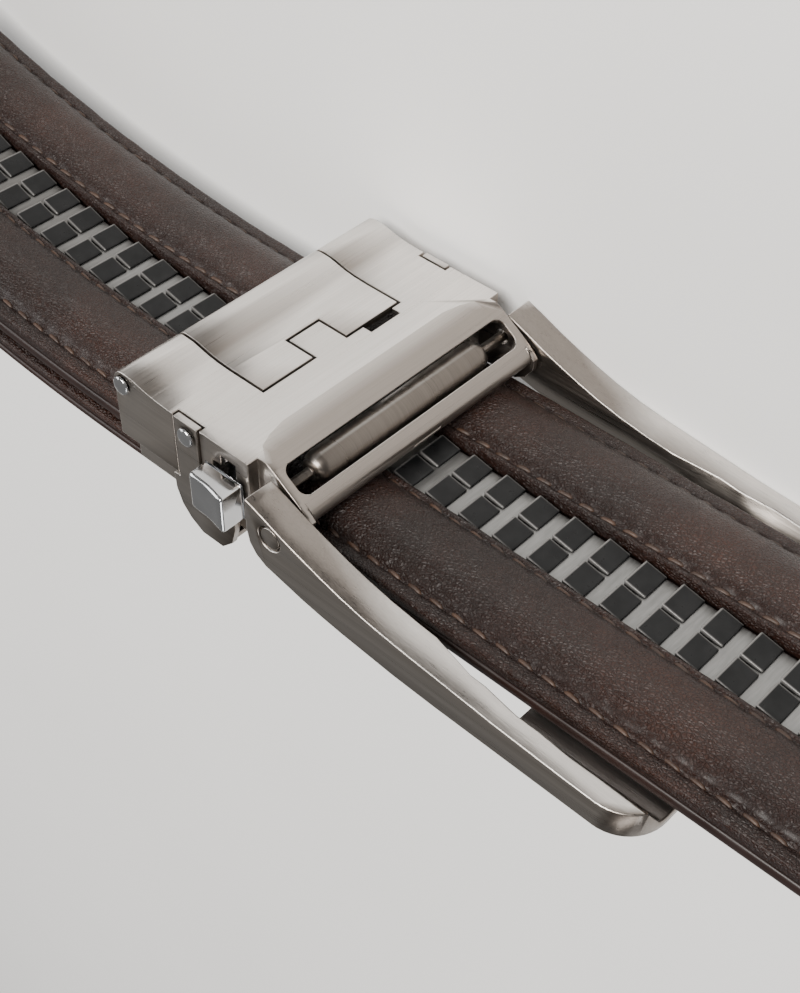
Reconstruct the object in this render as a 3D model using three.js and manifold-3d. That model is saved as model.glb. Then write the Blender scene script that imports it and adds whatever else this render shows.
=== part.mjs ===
// A ratchet belt, fastened and standing on its lower edge.
// Millimetres, +Z up. X runs along the strap through the buckle, Y points from the buckle into the loop
// and Z runs across the strap. The buckle is drawn about the middle of the strap, in a group that lifts it.
import * as THREE from "three";
import { mergeVertices } from "three/addons/utils/BufferGeometryUtils.js";
import Module from "manifold-3d";

const wasm = await Module();
wasm.setup();

const FIT = 0.3; // the space left between pieces that touch

// The strap: a flat lining with two padded bands on its inner side, and a channel between the bands.
const STRAP_WIDTH = 38;
const EDGE_THICKNESS = 3.4;
const BAND_CROWN = 2.0;
const CHANNEL_WIDTH = 10.2;
const STITCH_BORDER = 2.2;

// The clamped end of the strap is pared down, so that it lies flat against the back of the buckle.
const PARED_THICKNESS = 2.4;
const PARED_LENGTH = 125;
const PARING_RUN = 60;

// The loop that the strap follows: a straight stretch at the buckle, with the same three arcs on each side.
const STRAIGHT_FROM = -40;
const STRAIGHT_TO = 75;
const SIDE_RADIUS = 260;
const SIDE_ANGLE = THREE.MathUtils.degToRad(15);
const END_RADIUS = 80;
const END_ANGLE = THREE.MathUtils.degToRad(130);

// How the long end and the clamped end lie.
const TAIL_TIP = -128;
const TIP_LENGTH = 13;
const CLAMPED_END = -10;
const CLAMPED_DEPTH = 4.9;
const SHIFT_FROM = 180;
const SHIFT_TO = 690;
const LEVEL_REACH = 112;
const SAG_REACH = 330;

// The ratchet track: two columns of sloping plates with a plain strip between one row and the next.
const TRACK_WIDTH = 9;
const TRACK_BASE = 1.5;
const TRACK_GROOVE = 0.5;
const ROW_PITCH = 5.19;
const PLATE_LENGTH = 3.1;
const PLATE_LOW = 0.65;
const STRIP_LEVEL = 0.9;
const FIRST_ROW = -20;
const ROWS = 45;

// The housing. Its tunnel lets the strap through, and its walls, neck and the frame follow the tunnel's width.
const HOUSING_REAR = -34.7;
const SHOULDER_FRONT = -11.4;
const STRAP_PLAY = 0.4;
const TUNNEL_WIDTH = STRAP_WIDTH + 2 * STRAP_PLAY;
const SIDE_ROOM = 2.5;
const HOUSING_WIDTH = TUNNEL_WIDTH + 2 * SIDE_ROOM;
const WALL = 1.6;
const WALL_BOTTOM = -0.6;
const TOP = 8.8;
const TOP_THICKNESS = 1.0;
const TUNNEL_FLOOR = -3.8;
const FLOOR_THICKNESS = 0.8;
const FLANGE_HEIGHT = 5.1;
const NECK_WALL = 0.9;
const NECK_WIDTH = TUNNEL_WIDTH + 2 * NECK_WALL;
const RIDGE = -14.1;
const RIDGE_END = -10.2;
const RIM = { x: -9.0, y: 8.1 };
const LIP = { x: -5.15, y: 5.5 };
const BAR_REAR = -6.2;
const BAR_BOTTOM = 2.4;
const WINDOW_INSET = 0.4;
const WINDOW_WIDTH = TUNNEL_WIDTH - 2 * WINDOW_INSET;
const WINDOW_RIM = 0.15;
const WINDOW_CORNER = 1.3;
const LEDGE_Y = 7.0;
const RECESS_WIDTH = 4.7;

// The cover plate and its hinge at the rear edge of the housing.
const COVER_WIDTH = 23.3;
const COVER_FRONT = -19.5;
const SEAM = 0.35;
const NOTCH = { from: -2.5, to: 3.4, x: -24.3 };
const PRY_SLOT = { from: -10.3, to: -5.1, depth: 1.4 };
const HINGE = { x: -33.0, y: 8.1, radius: 1.7 };
const DIP_END = -25.0;
const COVER_PIN_RADIUS = 0.8;
const HEAD_RADIUS = 1.35;
const HEAD_HEIGHT = 0.6;

// The release lever, with the pawl on the same shaft.
const SHAFT = { x: -21.6, y: 6.9, radius: 0.6 };
const LEVER_REAR = -18.3;
const LEVER_FRONT = -12.0;
const LEVER_TOP = 5.5;
const LEVER_BOTTOM = 0;
const LEVER_REACH = 3.5;
const LEVER_NECK = { from: -16.8, to: -14.4, bottom: 2.2, top: 4.4 };
const PAWL_WIDTH = 7.2;
const PAWL_TIP = -0.35;
const LEVER_SLOT = { from: -17.4, to: -13.6, bottom: 0.4, top: 5.7 };
const LEVER_SIGHT = { from: -16.0, top: 7.2 };

// The bracket that holds the clamped end against the housing.
const BRACKET = { from: -23.85, to: -19.85, thickness: 0.9, proud: 0.15 };
const LOBE = { rear: -24.9, front: -14.4 };
const PLATE = { from: -20.8, to: -16.8 };
const PLATE_THICKNESS = 0.8;

// The bar in the window of the housing.
const GUIDE_BAR = { x: -8.5, y: 4.8, radius: 1.95, shorter: 8.6, endPin: 0.7 };

// The frame that swings from the neck of the housing and passes under the strap.
const ARM_PLAY = 0.4;
const ARM_GAP = NECK_WIDTH + 2 * ARM_PLAY;
const ARM_WIDTH = 4.3;
const FRAME_WIDTH = ARM_GAP + 2 * ARM_WIDTH;
const FRAME_REAR = -8.9;
const FRAME_FRONT = 47;
const ARM_RISE = 7.35;
const ARM_DROP = 5.3;
const FRAME_CORNER = 5.5;
const CROSS_REAR = 28;
const CROSS_BOTTOM = -6.8;
const CROSS_INSET = 2.4;
const CROSS_SHOULDER = 3.2;
const SHOULDER_RUN = 12;
const FRAME_PIN = { x: -5.1, y: 3.5, radius: 0.9, head: 1.45, headDepth: 1.0, sunk: 0.1 };

const LEATHER = { color: 0x3b221a, roughness: 0.55, metalness: 0.0 };
const LINING = { color: 0x2c1a15, roughness: 0.6, metalness: 0.0 };
const DARK_STEEL = { color: 0x4a4b4b, roughness: 0.4, metalness: 0.9 };
const SATIN_NICKEL = { color: 0xb5afa9, roughness: 0.35, metalness: 1.0 };
const CHROME = { color: 0xd5d8db, roughness: 0.1, metalness: 1.0 };

// A closed solid from a geometry whose faces share their corners.
function solidOf(geometry) {
  const plain = geometry.clone();
  plain.deleteAttribute("normal");
  plain.deleteAttribute("uv");
  const merged = mergeVertices(plain, 1e-4);
  return new wasm.Manifold(
    new wasm.Mesh({
      numProp: 3,
      vertProperties: new Float32Array(merged.attributes.position.array),
      triVerts: new Uint32Array(merged.index.array),
    }),
  );
}

// The geometry of a solid, for a mesh.
function geometryOf(solid) {
  const mesh = solid.getMesh();
  const geometry = new THREE.BufferGeometry();
  geometry.setAttribute("position", new THREE.BufferAttribute(mesh.vertProperties, 3));
  geometry.setIndex(new THREE.BufferAttribute(mesh.triVerts, 1));
  return geometry;
}

function named(name, geometry, look) {
  const mesh = new THREE.Mesh(geometry, new THREE.MeshStandardMaterial(look));
  mesh.name = name;
  return mesh;
}

function outline(points) {
  return new THREE.Shape(points.map(([a, b]) => new THREE.Vector2(a, b)));
}

// An outline in X and Y, drawn out along Z.
function across(points, zFrom, zTo) {
  const shape = points instanceof THREE.Shape ? points : outline(points);
  const geometry = new THREE.ExtrudeGeometry(shape, {
    depth: zTo - zFrom,
    bevelEnabled: false,
    curveSegments: 6,
  });
  return solidOf(geometry.translate(0, 0, zFrom));
}

// An outline in X and Z, drawn out along Y.
function upward(points, yFrom, yTo) {
  const shape = points instanceof THREE.Shape ? points : outline(points);
  const geometry = new THREE.ExtrudeGeometry(shape, {
    depth: yTo - yFrom,
    bevelEnabled: false,
    curveSegments: 6,
  });
  return solidOf(geometry.rotateX(Math.PI / 2).translate(0, yTo, 0));
}

function block(xFrom, xTo, yFrom, yTo, zFrom, zTo) {
  const geometry = new THREE.BoxGeometry(xTo - xFrom, yTo - yFrom, zTo - zFrom);
  return solidOf(geometry.translate((xFrom + xTo) / 2, (yFrom + yTo) / 2, (zFrom + zTo) / 2));
}

// A round rod along Z.
function rod(x, y, radius, zFrom, zTo, sides = 20) {
  const geometry = new THREE.CylinderGeometry(radius, radius, zTo - zFrom, sides);
  return solidOf(geometry.rotateX(Math.PI / 2).translate(x, y, (zFrom + zTo) / 2));
}

// A turned piece along Z, from its radius at each distance.
function turned(x, y, profile, sides = 16) {
  const points = profile.map(([radius, z]) => new THREE.Vector2(radius, z));
  return solidOf(new THREE.LatheGeometry(points, sides).rotateX(Math.PI / 2).translate(x, y, 0));
}

// The same pair of solids on both sides of the strap.
function bothSides(make) {
  return make(1).add(make(-1));
}

// An outline in X and Y between two distances from the middle of the strap, on one side of it.
function sidePlate(points, inner, outer, side) {
  return across(points, Math.min(side * inner, side * outer), Math.max(side * inner, side * outer));
}

// A box between two distances from the middle of the strap, on one side of it.
function sideBlock(xFrom, xTo, yFrom, yTo, inner, outer, side) {
  return sidePlate([[xFrom, yFrom], [xTo, yFrom], [xTo, yTo], [xFrom, yTo]], inner, outer, side);
}

// A solid from closed sections that follow one another, each with the same number of points.
function loft(sections, flat) {
  const count = sections[0].length;
  const positions = sections.flat().flatMap((point) => point.toArray());
  const index = [];
  for (let row = 0; row < sections.length - 1; row += 1) {
    for (let i = 0; i < count; i += 1) {
      const next = (i + 1) % count;
      const a = row * count + i;
      const b = row * count + next;
      index.push(a, b + count, b, a, a + count, b + count);
    }
  }
  const last = (sections.length - 1) * count;
  for (const [a, b, c] of THREE.ShapeUtils.triangulateShape(flat, [])) {
    index.push(a, b, c, last + c, last + b, last + a);
  }
  const geometry = new THREE.BufferGeometry();
  geometry.setAttribute("position", new THREE.Float32BufferAttribute(positions, 3));
  geometry.setIndex(index);
  return geometry;
}

// The loop. The back arc's radius is the one that closes it.
const STRAIGHT_HALF = (STRAIGHT_TO - STRAIGHT_FROM) / 2;
const LOOP_MIDDLE = (STRAIGHT_TO + STRAIGHT_FROM) / 2;
const BACK_ANGLE = Math.PI - SIDE_ANGLE - END_ANGLE;
const BACK_RADIUS =
  (STRAIGHT_HALF + (SIDE_RADIUS - END_RADIUS) * Math.sin(SIDE_ANGLE) + END_RADIUS * Math.sin(BACK_ANGLE)) /
  Math.sin(BACK_ANGLE);
const LOOP_ARCS = [
  { radius: SIDE_RADIUS, angle: SIDE_ANGLE },
  { radius: END_RADIUS, angle: END_ANGLE },
  { radius: BACK_RADIUS, angle: BACK_ANGLE },
];
const LOOP_LENGTH =
  2 * LOOP_ARCS.reduce((length, arc) => length + arc.radius * arc.angle, STRAIGHT_HALF);
const STRAP_END = LOOP_LENGTH + CLAMPED_END;

// The distance along the loop from the middle of the buckle stretch, negative towards the tail.
function fromMiddle(s) {
  return THREE.MathUtils.euclideanModulo(s - LOOP_MIDDLE + LOOP_LENGTH / 2, LOOP_LENGTH) - LOOP_LENGTH / 2;
}

// The point of the loop at length s, with the direction that points into the loop and the local radius.
function loopPoint(s) {
  const along = fromMiddle(s);
  const side = along < 0 ? -1 : 1;
  let rest = Math.abs(along) - STRAIGHT_HALF;
  let x = STRAIGHT_HALF + Math.min(rest, 0);
  let y = 0;
  let heading = 0;
  let radius = Infinity;
  for (const arc of LOOP_ARCS) {
    const turn = THREE.MathUtils.clamp(rest / arc.radius, 0, arc.angle);
    x += arc.radius * (Math.sin(heading + turn) - Math.sin(heading));
    y += arc.radius * (Math.cos(heading) - Math.cos(heading + turn));
    if (rest > 0) radius = arc.radius;
    heading += turn;
    rest -= arc.radius * arc.angle;
  }
  return { x: LOOP_MIDDLE + side * x, y, inX: -side * Math.sin(heading), inY: Math.cos(heading), radius };
}

// The buckle is wider than the strap, so the strap sinks from the buckle's height to its own lower edge.
const BUCKLE_HEIGHT = FRAME_WIDTH / 2;
function strapHeight(s) {
  const sag = THREE.MathUtils.smoothstep(Math.abs(fromMiddle(s)), LEVEL_REACH, SAG_REACH);
  return BUCKLE_HEIGHT - sag * (BUCKLE_HEIGHT - STRAP_WIDTH / 2);
}

// The strap moves one layer outwards on its way round, so that its clamped end lies outside its tail.
function layerShift(s) {
  return -CLAMPED_DEPTH * THREE.MathUtils.smoothstep(s, SHIFT_FROM, SHIFT_TO);
}

// 0 along the full strap and 1 along the pared end.
function paring(s) {
  const start = STRAP_END - PARED_LENGTH;
  return THREE.MathUtils.smoothstep(s, start - PARING_RUN, start);
}

function edgeThickness(s) {
  return THREE.MathUtils.lerp(EDGE_THICKNESS, PARED_THICKNESS, paring(s));
}

// A point of the strap: s along it, n out of its face and w across it.
function strapPoint(s, n, w) {
  const point = loopPoint(s);
  const out = n + layerShift(s);
  return new THREE.Vector3(point.x + out * point.inX, point.y + out * point.inY, w + strapHeight(s));
}

// The lengths at which the strap gets a section: close together where it bends sharply.
function stations(from, to) {
  const list = [];
  let s = from;
  while (s < to) {
    list.push(s);
    s += THREE.MathUtils.clamp(loopPoint(s).radius * 0.09, 7, 14);
  }
  if (to - list[list.length - 1] < 3) list.pop();
  list.push(to);
  return list;
}

// A strip of the strap with the section that sectionAt gives at each length, as [w, n] points.
function strip(from, to, sectionAt) {
  const lengths = stations(from, to);
  const sections = lengths.map((s) => sectionAt(s).map(([w, n]) => strapPoint(s, n, w)));
  return solidOf(loft(sections, sectionAt(from).map(([w, n]) => new THREE.Vector2(w, n))));
}

// What is cut away to round the tip of the tail.
function tipWaste() {
  const half = STRAP_WIDTH / 2 + 2;
  const shape = outline([[-4, -half], [TIP_LENGTH, -half], [TIP_LENGTH, half], [-4, half]]);
  const round = new THREE.Path();
  round.moveTo(TIP_LENGTH + 4, -STRAP_WIDTH / 2 - 1);
  round.lineTo(TIP_LENGTH, -STRAP_WIDTH / 2 - 1);
  round.absellipse(TIP_LENGTH, 0, TIP_LENGTH, STRAP_WIDTH / 2, -Math.PI / 2, -Math.PI * 1.5, true);
  round.lineTo(TIP_LENGTH, STRAP_WIDTH / 2 + 1);
  round.lineTo(TIP_LENGTH + 4, STRAP_WIDTH / 2 + 1);
  const keep = upward(new THREE.Shape(round.getPoints(10)), -20, 20);
  const waste = upward(shape, -EDGE_THICKNESS - 0.7, BAND_CROWN + 2).subtract(keep);
  const point = loopPoint(TAIL_TIP);
  const place = new THREE.Matrix4().makeRotationZ(Math.atan2(point.inY, point.inX) - Math.PI / 2);
  place.setPosition(point.x, point.y, strapHeight(TAIL_TIP));
  return waste.transform(place.elements);
}

const WASTE = tipWaste();

function strapLining() {
  const half = STRAP_WIDTH / 2;
  const section = (s) => {
    const thickness = edgeThickness(s);
    const top = -(thickness + FIT) / 2;
    return [[-half, -thickness], [half, -thickness], [half, top], [-half, top]];
  };
  return geometryOf(strip(TAIL_TIP, STRAP_END, section).subtract(WASTE));
}

// A padded band: flat along its stitched edges and crowned between them. side is 1 for the upper one.
function strapBand(side) {
  const outer = STRAP_WIDTH / 2 - 0.1;
  const inner = CHANNEL_WIDTH / 2;
  const width = outer - inner;
  const section = (s) => {
    const crown = BAND_CROWN * (1 - paring(s));
    const bottom = -(edgeThickness(s) - FIT) / 2;
    const points = [
      [inner, bottom],
      [outer, bottom],
      [outer, -0.3],
      [outer - STITCH_BORDER, 0.04 * crown],
      [outer - 0.27 * width, 0.55 * crown],
      [outer - 0.52 * width, crown],
      [inner + 0.22 * width, 0.78 * crown],
      [inner, 0.32 * crown],
    ];
    return side > 0 ? points : points.map(([w, n]) => [-w, n]).reverse();
  };
  return geometryOf(strip(TAIL_TIP, STRAP_END, section).subtract(WASTE));
}

// One section of the track: two columns with a groove between them. Levels go down from the strap's face.
function trackSection(level, grooveLevel) {
  const half = TRACK_WIDTH / 2;
  const groove = TRACK_GROOVE / 2;
  return [
    [-half, -TRACK_BASE],
    [half, -TRACK_BASE],
    [half, -level],
    [groove, -level],
    [groove - 0.02, -grooveLevel],
    [-groove + 0.02, -grooveLevel],
    [-groove, -level],
    [-half, -level],
  ];
}

// Each row starts at the raised rear edge of its plates, slopes down to their front and ends in a plain strip.
function ratchetTrack() {
  const sections = [];
  const add = (s, level, grooveLevel) => {
    sections.push(trackSection(level, grooveLevel).map(([w, n]) => strapPoint(s, n, w)));
  };
  const drop = 0.05;
  const grooveDepth = STRIP_LEVEL + 0.05;
  for (let row = FIRST_ROW; row < FIRST_ROW + ROWS; row += 1) {
    const rear = row * ROW_PITCH;
    add(rear - drop, STRIP_LEVEL, grooveDepth);
    add(rear, 0, grooveDepth);
    add(rear + PLATE_LENGTH, PLATE_LOW, grooveDepth);
    add(rear + PLATE_LENGTH + drop, STRIP_LEVEL, grooveDepth);
  }
  add((FIRST_ROW + ROWS) * ROW_PITCH - drop, STRIP_LEVEL, grooveDepth);
  const flat = trackSection(STRIP_LEVEL, grooveDepth).map(([w, n]) => new THREE.Vector2(w, n));
  return geometryOf(solidOf(loft(sections, flat)));
}

// The line of the housing's top from its hinge forwards: it dips behind the rear edge and then runs flat.
// along is the share of the way from the hinge to the dip's end, rise the share of the rear edge's height.
const TOP_LINE = [
  { along: 0, rise: 1 },
  { along: 0.21, rise: 0.92 },
  { along: 0.375, rise: 0.62 },
  { along: 0.55, rise: 0.3 },
  { along: 0.75, rise: 0.1 },
  { along: 1, rise: 0 },
];

// The same line, lowered and carried on to a front edge.
function topLine(drop, front) {
  const edge = HINGE.y + HINGE.radius - TOP;
  const line = TOP_LINE.map(({ along, rise }) => [
    THREE.MathUtils.lerp(HINGE.x, DIP_END, along),
    TOP + edge * rise - drop,
  ]);
  return [...line, [front, TOP - drop]];
}

// A plate of the top's thickness that follows the top line.
function topPlate(front, zFrom, zTo) {
  return across([...topLine(0, front), ...topLine(TOP_THICKNESS, front).reverse()], zFrom, zTo);
}

function cheekOutline() {
  return [
    [SHOULDER_FRONT - 1, WALL_BOTTOM],
    [-6, WALL_BOTTOM],
    [-4.4, 0.4],
    [-3.3, 2.0],
    [-3.1, 3.6],
    [-3.9, 4.5],
    [LIP.x, LIP.y],
    [RIM.x, RIM.y],
    [RIM.x - 1.2, TOP],
    [SHOULDER_FRONT - 1, TOP],
  ];
}

// The front of the neck: the sloping hood, the window's face and the bar below it.
function noseOutline() {
  return [
    [BAR_REAR, BAR_BOTTOM],
    [-4.4, BAR_BOTTOM],
    [-3.7, 3.0],
    [-3.6, 3.7],
    [-3.9, 4.4],
    [LIP.x, LIP.y],
    [RIM.x, RIM.y],
    [RIM.x - 1.2, TOP],
    [-19, TOP],
    [-19, TOP - TOP_THICKNESS],
    [RIDGE, TOP - TOP_THICKNESS],
    [RIM.x - 0.4, RIM.y - TOP_THICKNESS],
    [RIM.x + 0.4, RIM.y - 1.0],
    [BAR_REAR, LIP.y + 0.3],
    [BAR_REAR, LIP.y - 0.6],
  ];
}

// What is cut off the top to slope the hood down from its ridge. The ridge bends forwards at both ends.
function hoodWaste() {
  const half = NECK_WIDTH / 2;
  const bend = half - 11;
  const sections = [-half - 1, -half, -18.5, -16.5, -14, -11, 11, 14, 16.5, 18.5, half, half + 1].map((z) => {
    const turn = THREE.MathUtils.clamp((Math.abs(z) - 11) / bend, 0, 1);
    const ridge = RIDGE + (RIDGE_END - RIDGE) * (1 - Math.sqrt(1 - turn * turn));
    return [
      new THREE.Vector3(ridge, TOP, z),
      new THREE.Vector3(RIM.x, RIM.y, z),
      new THREE.Vector3(RIM.x + 3, RIM.y, z),
      new THREE.Vector3(RIM.x + 3, TOP + 3, z),
      new THREE.Vector3(ridge, TOP + 3, z),
    ];
  });
  const flat = sections[0].map(({ x, y }) => new THREE.Vector2(x, y));
  return solidOf(loft(sections.reverse(), flat));
}

// The window in the sloping face between the hood's rim and the lip, with rounded corners.
function windowWaste() {
  const run = LIP.x - RIM.x;
  const fall = LIP.y - RIM.y;
  const long = WINDOW_WIDTH / 2;
  const short = Math.hypot(run, fall) / 2 - WINDOW_RIM;
  const straight = long - WINDOW_CORNER;
  const across = short - WINDOW_CORNER;
  const shape = new THREE.Shape();
  shape.absarc(across, straight, WINDOW_CORNER, 0, Math.PI / 2, false);
  shape.absarc(-across, straight, WINDOW_CORNER, Math.PI / 2, Math.PI, false);
  shape.absarc(-across, -straight, WINDOW_CORNER, Math.PI, Math.PI * 1.5, false);
  shape.absarc(across, -straight, WINDOW_CORNER, Math.PI * 1.5, Math.PI * 2, false);
  const geometry = new THREE.ExtrudeGeometry(shape, { depth: 5, bevelEnabled: false, curveSegments: 6 });
  geometry.rotateX(Math.PI / 2).translate(0, 2, 0);
  geometry.rotateZ(Math.atan2(fall, run)).translate((RIM.x + LIP.x) / 2, (RIM.y + LIP.y) / 2, 0);
  return solidOf(geometry);
}

function housing() {
  const half = HOUSING_WIDTH / 2;
  const inside = half - WALL;
  const tunnel = TUNNEL_WIDTH / 2;
  const neck = NECK_WIDTH / 2;
  const opening = COVER_WIDTH / 2 + SEAM;
  const bracket = half + BRACKET.proud - BRACKET.thickness;

  const wall = [
    [HOUSING_REAR, WALL_BOTTOM],
    [SHOULDER_FRONT, WALL_BOTTOM],
    ...topLine(0, SHOULDER_FRONT).reverse(),
    [HINGE.x, HINGE.y],
    [HOUSING_REAR, HINGE.y],
  ];
  let body = bothSides((side) => sidePlate(wall, inside, half, side));
  body = body.add(topPlate(SHOULDER_FRONT, -half, half));
  body = body.add(rod(HINGE.x, HINGE.y, HINGE.radius, -half, half, 24));
  body = body.add(bothSides((side) => sidePlate(cheekOutline(), tunnel, neck, side)));
  body = body.add(across(noseOutline(), -neck, neck));
  body = body.add(block(SHOULDER_FRONT - 1, SHOULDER_FRONT, 5, TOP, -inside - 0.2, -tunnel));
  body = body.add(block(SHOULDER_FRONT - 1, SHOULDER_FRONT, 5, TOP, tunnel, inside + 0.2));

  // The floor between the two layers of the strap, with a flange up to each wall.
  const floor = TUNNEL_FLOOR - FLOOR_THICKNESS;
  body = body.add(block(HOUSING_REAR + 1.3, SHOULDER_FRONT, floor, TUNNEL_FLOOR, -inside - 0.2, inside + 0.2));
  body = body.add(bothSides((side) =>
    sideBlock(HOUSING_REAR + 1.3, SHOULDER_FRONT, floor, floor + FLANGE_HEIGHT, tunnel, inside + 0.2, side),
  ));

  // The opening that the cover plate fills, and the ledges that it rests on.
  body = body.subtract(block(HOUSING_REAR - 1, COVER_FRONT + SEAM, 5.9, TOP + 2, -opening, opening));
  const tongue = across(
    [[NOTCH.x + SEAM, TOP - TOP_THICKNESS], [-19, TOP - TOP_THICKNESS], [-19, TOP], [NOTCH.x + SEAM, TOP]],
    NOTCH.from + SEAM,
    NOTCH.to - SEAM,
  );
  body = body.add(tongue);
  body = body.subtract(
    block(COVER_FRONT, COVER_FRONT + SEAM + PRY_SLOT.depth, 7, TOP + 1, PRY_SLOT.from, PRY_SLOT.to),
  );
  const underside = TOP - TOP_THICKNESS;
  body = body.add(bothSides((side) =>
    sideBlock(-26, -22.5, LEDGE_Y, underside - FIT, opening - 1, opening + 1, side),
  ));
  body = body.add(bothSides((side) =>
    sideBlock(-26, -22.5, underside - FIT - 0.1, underside + 0.2, opening, opening + 1, side),
  ));

  body = body.subtract(hoodWaste());
  body = body.subtract(windowWaste());
  body = body.subtract(block(-4.4, -2.8, 3.45, 3.75, -RECESS_WIDTH / 2, RECESS_WIDTH / 2));

  // The grooves for the bracket's strips, the slot for the lever and the holes for the pins.
  body = body.subtract(bothSides((side) =>
    sideBlock(BRACKET.from - FIT, BRACKET.to + FIT, WALL_BOTTOM - 1, TOP + 1, bracket - FIT, half + 1, side),
  ));
  body = body.subtract(
    block(LEVER_SLOT.from, LEVER_SLOT.to, LEVER_SLOT.bottom, LEVER_SLOT.top, inside - 0.1, half + 1),
  );
  body = body.subtract(
    block(LEVER_SIGHT.from, LEVER_SLOT.to, LEVER_SLOT.bottom, LEVER_SIGHT.top, inside - 0.1, half + 1),
  );
  body = body.subtract(rod(HINGE.x, HINGE.y, COVER_PIN_RADIUS + FIT, -half - 1, half + 1));
  body = body.subtract(rod(SHAFT.x, SHAFT.y, SHAFT.radius + FIT, -half - 1, half + 1));
  body = body.subtract(rod(GUIDE_BAR.x, GUIDE_BAR.y, GUIDE_BAR.endPin + FIT, -neck - 1, neck + 1));
  body = body.subtract(bothSides((side) => {
    const [from, to] = side > 0 ? [tunnel - 0.1, neck + 1] : [-neck - 1, -tunnel + 0.1];
    return rod(FRAME_PIN.x, FRAME_PIN.y, FRAME_PIN.radius + FIT, from, to);
  }));
  return geometryOf(body);
}

function coverPlate() {
  const half = COVER_WIDTH / 2;
  let plate = topPlate(COVER_FRONT, -half, half);
  plate = plate.add(rod(HINGE.x, HINGE.y, HINGE.radius, -half, half, 24));
  plate = plate.subtract(block(NOTCH.x, COVER_FRONT + 1, TOP - 3, TOP + 1, NOTCH.from, NOTCH.to));
  return geometryOf(plate.subtract(rod(HINGE.x, HINGE.y, COVER_PIN_RADIUS + FIT, -half - 1, half + 1)));
}

// A shaft with a low dome at each end. The domes start at the distance from the middle that reach gives.
function domedPin(x, y, radius, reach) {
  const dome = [
    [0, reach + HEAD_HEIGHT],
    [HEAD_RADIUS * 0.55, reach + HEAD_HEIGHT * 0.8],
    [HEAD_RADIUS * 0.9, reach + HEAD_HEIGHT * 0.42],
    [HEAD_RADIUS, reach],
    [radius, reach],
  ];
  const lower = dome.map(([r, z]) => [r, -z]);
  return turned(x, y, [...lower, ...dome.reverse()]);
}

function coverPin() {
  return geometryOf(domedPin(HINGE.x, HINGE.y, COVER_PIN_RADIUS, HOUSING_WIDTH / 2 + FIT));
}

function releaseLever() {
  const face = HOUSING_WIDTH / 2 + BRACKET.proud + FIT;
  const inner = HOUSING_WIDTH / 2 - WALL - FIT;
  const half = PAWL_WIDTH / 2;
  let lever = domedPin(SHAFT.x, SHAFT.y, SHAFT.radius, face);

  const thumbPiece = [
    [LEVER_REAR, face],
    [LEVER_FRONT, face],
    [LEVER_FRONT, face + LEVER_REACH],
    [LEVER_FRONT - 1.6, face + LEVER_REACH - 0.35],
    [LEVER_FRONT - 3.4, face + LEVER_REACH - 0.5],
    [LEVER_REAR + 0.9, face + LEVER_REACH - 0.35],
    [LEVER_REAR, face + LEVER_REACH - 0.9],
  ];
  lever = lever.add(upward(thumbPiece, LEVER_BOTTOM, LEVER_TOP));
  const neck = LEVER_NECK;
  lever = lever.add(block(neck.from, neck.to, neck.bottom, neck.top, inner - 0.5, face + 0.5));

  const innerPlate = [
    [SHAFT.x, SHAFT.y + SHAFT.radius],
    [SHAFT.x - SHAFT.radius, SHAFT.y],
    [-21.2, 3.2],
    [-17.4, 2.2],
    [-14.2, 2.2],
    [-14.2, 5.9],
  ];
  lever = lever.add(across(innerPlate, inner - 1.6, inner));
  lever = lever.add(block(-20.6, -18.8, 3.2, 5.2, -half, inner - 1));

  const pawl = [
    [SHAFT.x, SHAFT.y + SHAFT.radius],
    [SHAFT.x - SHAFT.radius, SHAFT.y],
    [-20.9, 3.2],
    [-17.4, PAWL_TIP],
    [-16.4, PAWL_TIP],
    [-16.9, 3.0],
    [-18.2, 6.2],
  ];
  return geometryOf(lever.add(across(pawl, -half, half)));
}

// The lobe below the strip, from its front edge round to its rear, as shares of its length and depth.
const LOBE_OUTLINE = [
  { along: 0.98, down: 0 },
  { along: 1, down: 0.36 },
  { along: 0.92, down: 0.76 },
  { along: 0.75, down: 1 },
  { along: 0.41, down: 1 },
  { along: 0.22, down: 0.84 },
  { along: 0.09, down: 0.63 },
  { along: 0.01, down: 0.33 },
  { along: 0, down: 0 },
];

// Two strips down the sides of the housing, each with a rounded lobe at its foot, joined under the clamped end.
function clampBracket() {
  const outer = HOUSING_WIDTH / 2 + BRACKET.proud;
  const inner = outer - BRACKET.thickness;
  const plateTop = -CLAMPED_DEPTH - PARED_THICKNESS - FIT;
  const foot = plateTop - PLATE_THICKNESS;
  const top = WALL_BOTTOM - FIT;
  const lobe = LOBE_OUTLINE.map(({ along, down }) => [
    THREE.MathUtils.lerp(LOBE.rear, LOBE.front, along),
    THREE.MathUtils.lerp(top, foot, down),
  ]);
  lobe.push([BRACKET.from, top], [BRACKET.from, TOP], [BRACKET.to, TOP], [BRACKET.to, top]);
  let bracket = bothSides((side) => sidePlate(lobe, inner, outer, side));
  bracket = bracket.add(block(PLATE.from, PLATE.to, foot, plateTop, -inner - 0.3, inner + 0.3));
  bracket = bracket.subtract(rod(SHAFT.x, SHAFT.y, SHAFT.radius + FIT, -outer - 1, outer + 1));
  return geometryOf(bracket);
}

// A round bar with rounded ends, on a thin pin at each end.
function guideBar() {
  const { x, y, radius, shorter, endPin } = GUIDE_BAR;
  const half = (TUNNEL_WIDTH - shorter) / 2;
  const reach = NECK_WIDTH / 2 - 0.2;
  const end = [
    [0, reach],
    [endPin, reach],
    [endPin, half],
    [radius * 0.55, half],
    [radius * 0.86, half - radius * 0.3],
    [radius, half - radius * 0.85],
  ];
  const lower = end.map(([r, z]) => [r, -z]).reverse();
  return geometryOf(turned(x, y, [...end, ...lower].reverse(), 22));
}

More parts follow.
